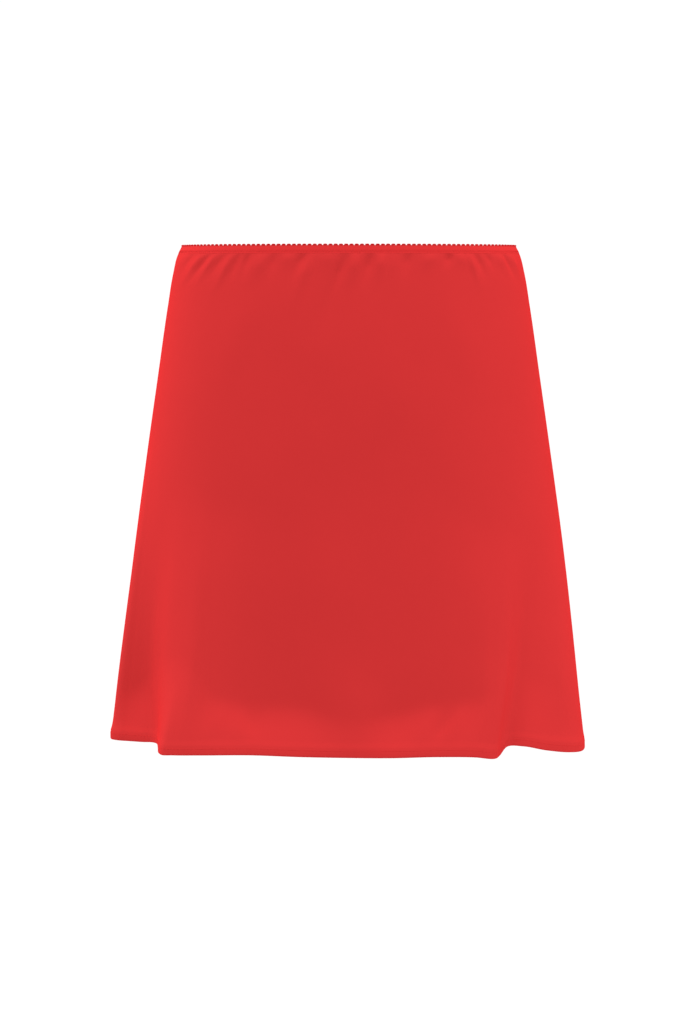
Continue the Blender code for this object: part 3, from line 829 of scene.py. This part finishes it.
def picot_thread(colours):
    """The thicker, deeper red thread of the picots."""
    return twisted_thread("picot_thread", colours.picots)


def pale_floor(colours):
    """Plain matt floor."""
    material, shader, _, _ = matt("pale_floor", roughness=0.9, specular=0.5)
    shader.inputs["Base Color"].default_value = (*colours.floor, 1.0)
    return material


def material_named(name, maker, colours):
    """The material of that name, made the first time it is asked for."""
    return bpy.data.materials.get(name) or maker(colours)


# ----------------------------------------------------------------------
# Stage

FLOOR_HEIGHT = -1.0
FLOOR_HALF = 2.2
CAMERA_AT = Vector((0.0, -1.8, -0.024))
LOOKS_AT = Vector((0.00094, 0.0, -0.2117))
METRES_A_PIXEL = 0.00082  # at the skirt's middle
PICTURE_HEIGHT = 1021
SENSOR = 36.0
SKY = 1.03  # strength of the white all round

# The lights, a row for each: how far round from the camera's side and how high, in degrees, how far
# off and how big, in metres, and how strong.
Light = namedtuple("Light", "name azimuth elevation distance size watts")
LIGHTS = (
    Light("left_softbox", -107.0, 6.0, 1.8, 1.2, 14.6),
    Light("right_softbox", 87.0, 4.0, 1.8, 1.2, 12.4),
    Light("top_softbox", -20.0, 78.0, 6.0, 3.0, 350.0),
)


def make_floor(colours):
    """A square of floor, well under the skirt."""
    corners = FLOOR_HALF * np.array([(-1, -1), (1, -1), (1, 1), (-1, 1)])
    mesh = bpy.data.meshes.new("floor")
    mesh.from_pydata([(x, y, FLOOR_HEIGHT) for x, y in corners], [], [(0, 1, 2, 3)])
    mesh.materials.append(pale_floor(colours))
    floor = bpy.data.objects.new("floor", mesh)
    bpy.context.scene.collection.objects.link(floor)


def put(name, data, at, way):
    """A light or the camera: it stands at that point and looks that way."""
    thing = bpy.data.objects.new(name, data)
    thing.location = at
    thing.rotation_mode = "QUATERNION"
    thing.rotation_quaternion = way.to_track_quat("-Z", "Y")
    bpy.context.scene.collection.objects.link(thing)
    return thing


def make_lights():
    """Round soft lights, each on a sphere round the skirt's middle and turned to it, and the sky."""
    middle = Vector((0.0, 0.0, -0.5 * LENGTH))
    for row in LIGHTS:
        lamp = bpy.data.lights.new(row.name, "AREA")
        lamp.shape = "DISK"
        lamp.size = row.size
        lamp.energy = row.watts
        around, up = np.radians(row.azimuth), np.radians(row.elevation)
        way = Vector((np.sin(around) * np.cos(up), -np.cos(around) * np.cos(up), np.sin(up)))
        put(row.name, lamp, middle + way * row.distance, -way)
    world = bpy.data.worlds.new("soft_studio")
    world.use_nodes = True
    sky = world.node_tree.nodes["Background"]
    sky.inputs["Color"].default_value = (1.0, 1.0, 1.0, 1.0)
    sky.inputs["Strength"].default_value = SKY
    bpy.context.scene.world = world


def make_camera():
    """The camera, with the lens that gives METRES_A_PIXEL at the skirt's middle."""
    lens = bpy.data.cameras.new("camera")
    way = LOOKS_AT - CAMERA_AT
    lens.sensor_width = SENSOR
    lens.lens = SENSOR * way.length / METRES_A_PIXEL / PICTURE_HEIGHT
    scene = bpy.context.scene
    scene.camera = put("camera", lens, CAMERA_AT, way)
    scene.view_settings.view_transform = "Standard"


# ----------------------------------------------------------------------
# What a user would change


class SkirtSizes(bpy.types.PropertyGroup):
    """How thick the cloth, the elastic and the thread are, and the sizes of the hem"""

    cloth_wall: FloatProperty(
        name="Cloth", description="Thickness of one layer of cloth", default=0.0006, unit="LENGTH"
    )
    hem_wall: FloatProperty(
        name="Turned hem", description="Thickness of the hem's three layers", default=0.0018, unit="LENGTH"
    )
    hem_height: FloatProperty(
        name="Hem height", description="Height of the turned hem", default=0.0058, unit="LENGTH"
    )
    elastic_wall: FloatProperty(
        name="Elastic", description="Thickness of the waist elastic", default=0.0008, unit="LENGTH"
    )
    elastic_foot: FloatProperty(
        name="Elastic foot", description="Thickness at its stitched edge", default=0.00012, unit="LENGTH"
    )
    thread: FloatProperty(
        name="Thread", description="Thickness of the sewing thread", default=0.00026, unit="LENGTH"
    )
    stitch: FloatProperty(
        name="Stitch", description="Length of one straight stitch", default=0.0027, unit="LENGTH"
    )


class SkirtColours(bpy.types.PropertyGroup):
    """The reds, the floor's colour and the cloth's sheen"""

    cloth: FloatVectorProperty(
        name="Cloth", description="Red of the cloth", default=(0.460, 0.0246, 0.0251), subtype="COLOR"
    )
    elastic: FloatVectorProperty(
        name="Elastic", description="Red of the elastic", default=(0.542, 0.0262, 0.0268), subtype="COLOR"
    )
    thread: FloatVectorProperty(
        name="Thread", description="Red of the thread", default=(0.520, 0.0245, 0.0250), subtype="COLOR"
    )
    picots: FloatVectorProperty(
        name="Picots", description="Red of the picots", default=(0.420, 0.0130, 0.0160), subtype="COLOR"
    )
    floor: FloatVectorProperty(
        name="Floor", description="Colour of the floor", default=(0.68, 0.68, 0.68), subtype="COLOR"
    )
    sheen: FloatProperty(
        name="Sheen", description="How much the cloth shines at its edges", default=0.2, min=0, max=1
    )


# ----------------------------------------------------------------------
# Operators


class SKIRT_OT_panels(bpy.types.Operator):
    """Make the front and back panels of cloth"""

    bl_idname = "skirt.panels"
    bl_label = "Front and Back Panels"

    def execute(self, context):
        sizes, colours = context.scene.skirt_sizes, context.scene.skirt_colours
        cloth = material_named("satin_cloth", satin_cloth, colours)
        for name, node, start in (("front_cloth", "front_panel", 0.0), ("back_cloth", "back_panel", 1.0)):
            panel = make_panel(name, start, start + 1.0, sizes, cloth)
            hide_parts(node)
        return {"FINISHED"}


class SKIRT_OT_elastic(bpy.types.Operator):
    """Make the waist elastic and its picots"""

    bl_idname = "skirt.elastic"
    bl_label = "Picot Elastic"

    def execute(self, context):
        sizes, colours = context.scene.skirt_sizes, context.scene.skirt_colours
        woven = material_named("woven_elastic", woven_elastic, colours)
        thread = material_named("picot_thread", picot_thread, colours)
        elastic = make_elastic(sizes, woven)
        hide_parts("waist_elastic")
        picots = make_picots(sizes, thread)
        return {"FINISHED"}


class SKIRT_OT_sewing(bpy.types.Operator):
    """Make the elastic's zigzag, the side seams' allowances and the stitches along the hem"""

    bl_idname = "skirt.sewing"
    bl_label = "Sewing"

    def execute(self, context):
        sizes, colours = context.scene.skirt_sizes, context.scene.skirt_colours
        thread = material_named("sewing_thread", sewing_thread, colours)
        make_zigzag(sizes, thread)
        cloth = material_named("satin_cloth", satin_cloth, colours)
        for name, at, toward in (("left_allowance", 0.0, -1), ("right_allowance", 1.0, 1)):
            make_allowance(name, at, toward, sizes, cloth)
            overlock = make_overlock(name + "_overlock", at, toward, sizes, thread)
        line = LENGTH - sizes.hem_height + STITCH_LINE
        for name, start in (("front_hem_stitches", 0.0), ("back_hem_stitches", 1.0)):
            stitched_row(name, start, start + 1.0, line, sizes, thread)
        return {"FINISHED"}


class SKIRT_OT_declare(bpy.types.Operator):
    """Does nothing: it makes and changes no piece."""

    bl_idname = "skirt.declare"
    bl_label = "Flat Cuts"

    def execute(self, context):
        return {"FINISHED"}


class SKIRT_OT_stage(bpy.types.Operator):
    """Make the floor, the lights and the camera"""

    bl_idname = "skirt.stage"
    bl_label = "Stage"

    def execute(self, context):
        colours = context.scene.skirt_colours
        make_floor(colours)
        make_lights()
        make_camera()
        return {"FINISHED"}


class SKIRT_PT_panel(bpy.types.Panel):
    """The sizes, the colours and a button for each operator"""

    bl_label = "Mini Skirt"
    bl_space_type = "VIEW_3D"
    bl_region_type = "UI"
    bl_category = "Mini Skirt"

    def draw(self, context):
        for group in (context.scene.skirt_sizes, context.scene.skirt_colours):
            box = self.layout.box()
            for name in group.__annotations__:
                box.prop(group, name)
        for operator in OPERATORS:
            self.layout.operator(operator.bl_idname)


OPERATORS = (SKIRT_OT_panels, SKIRT_OT_elastic, SKIRT_OT_sewing, SKIRT_OT_declare, SKIRT_OT_stage)
CLASSES = (SkirtSizes, SkirtColours, *OPERATORS, SKIRT_PT_panel)


def register():
    """Make the classes and the scene's two groups of settings known."""
    for one in CLASSES:
        bpy.utils.register_class(one)
    bpy.types.Scene.skirt_sizes = PointerProperty(type=SkirtSizes)
    bpy.types.Scene.skirt_colours = PointerProperty(type=SkirtColours)


def unregister():
    """Take them away again."""
    del bpy.types.Scene.skirt_colours
    del bpy.types.Scene.skirt_sizes
    for one in reversed(CLASSES):
        bpy.utils.unregister_class(one)


def main():
    """Make the skirt and its stage."""
    register()
    bpy.ops.skirt.panels()
    bpy.ops.skirt.elastic()
    bpy.ops.skirt.sewing()
    bpy.ops.skirt.declare()
    bpy.ops.skirt.stage()


if __name__ == "__main__":
    main()
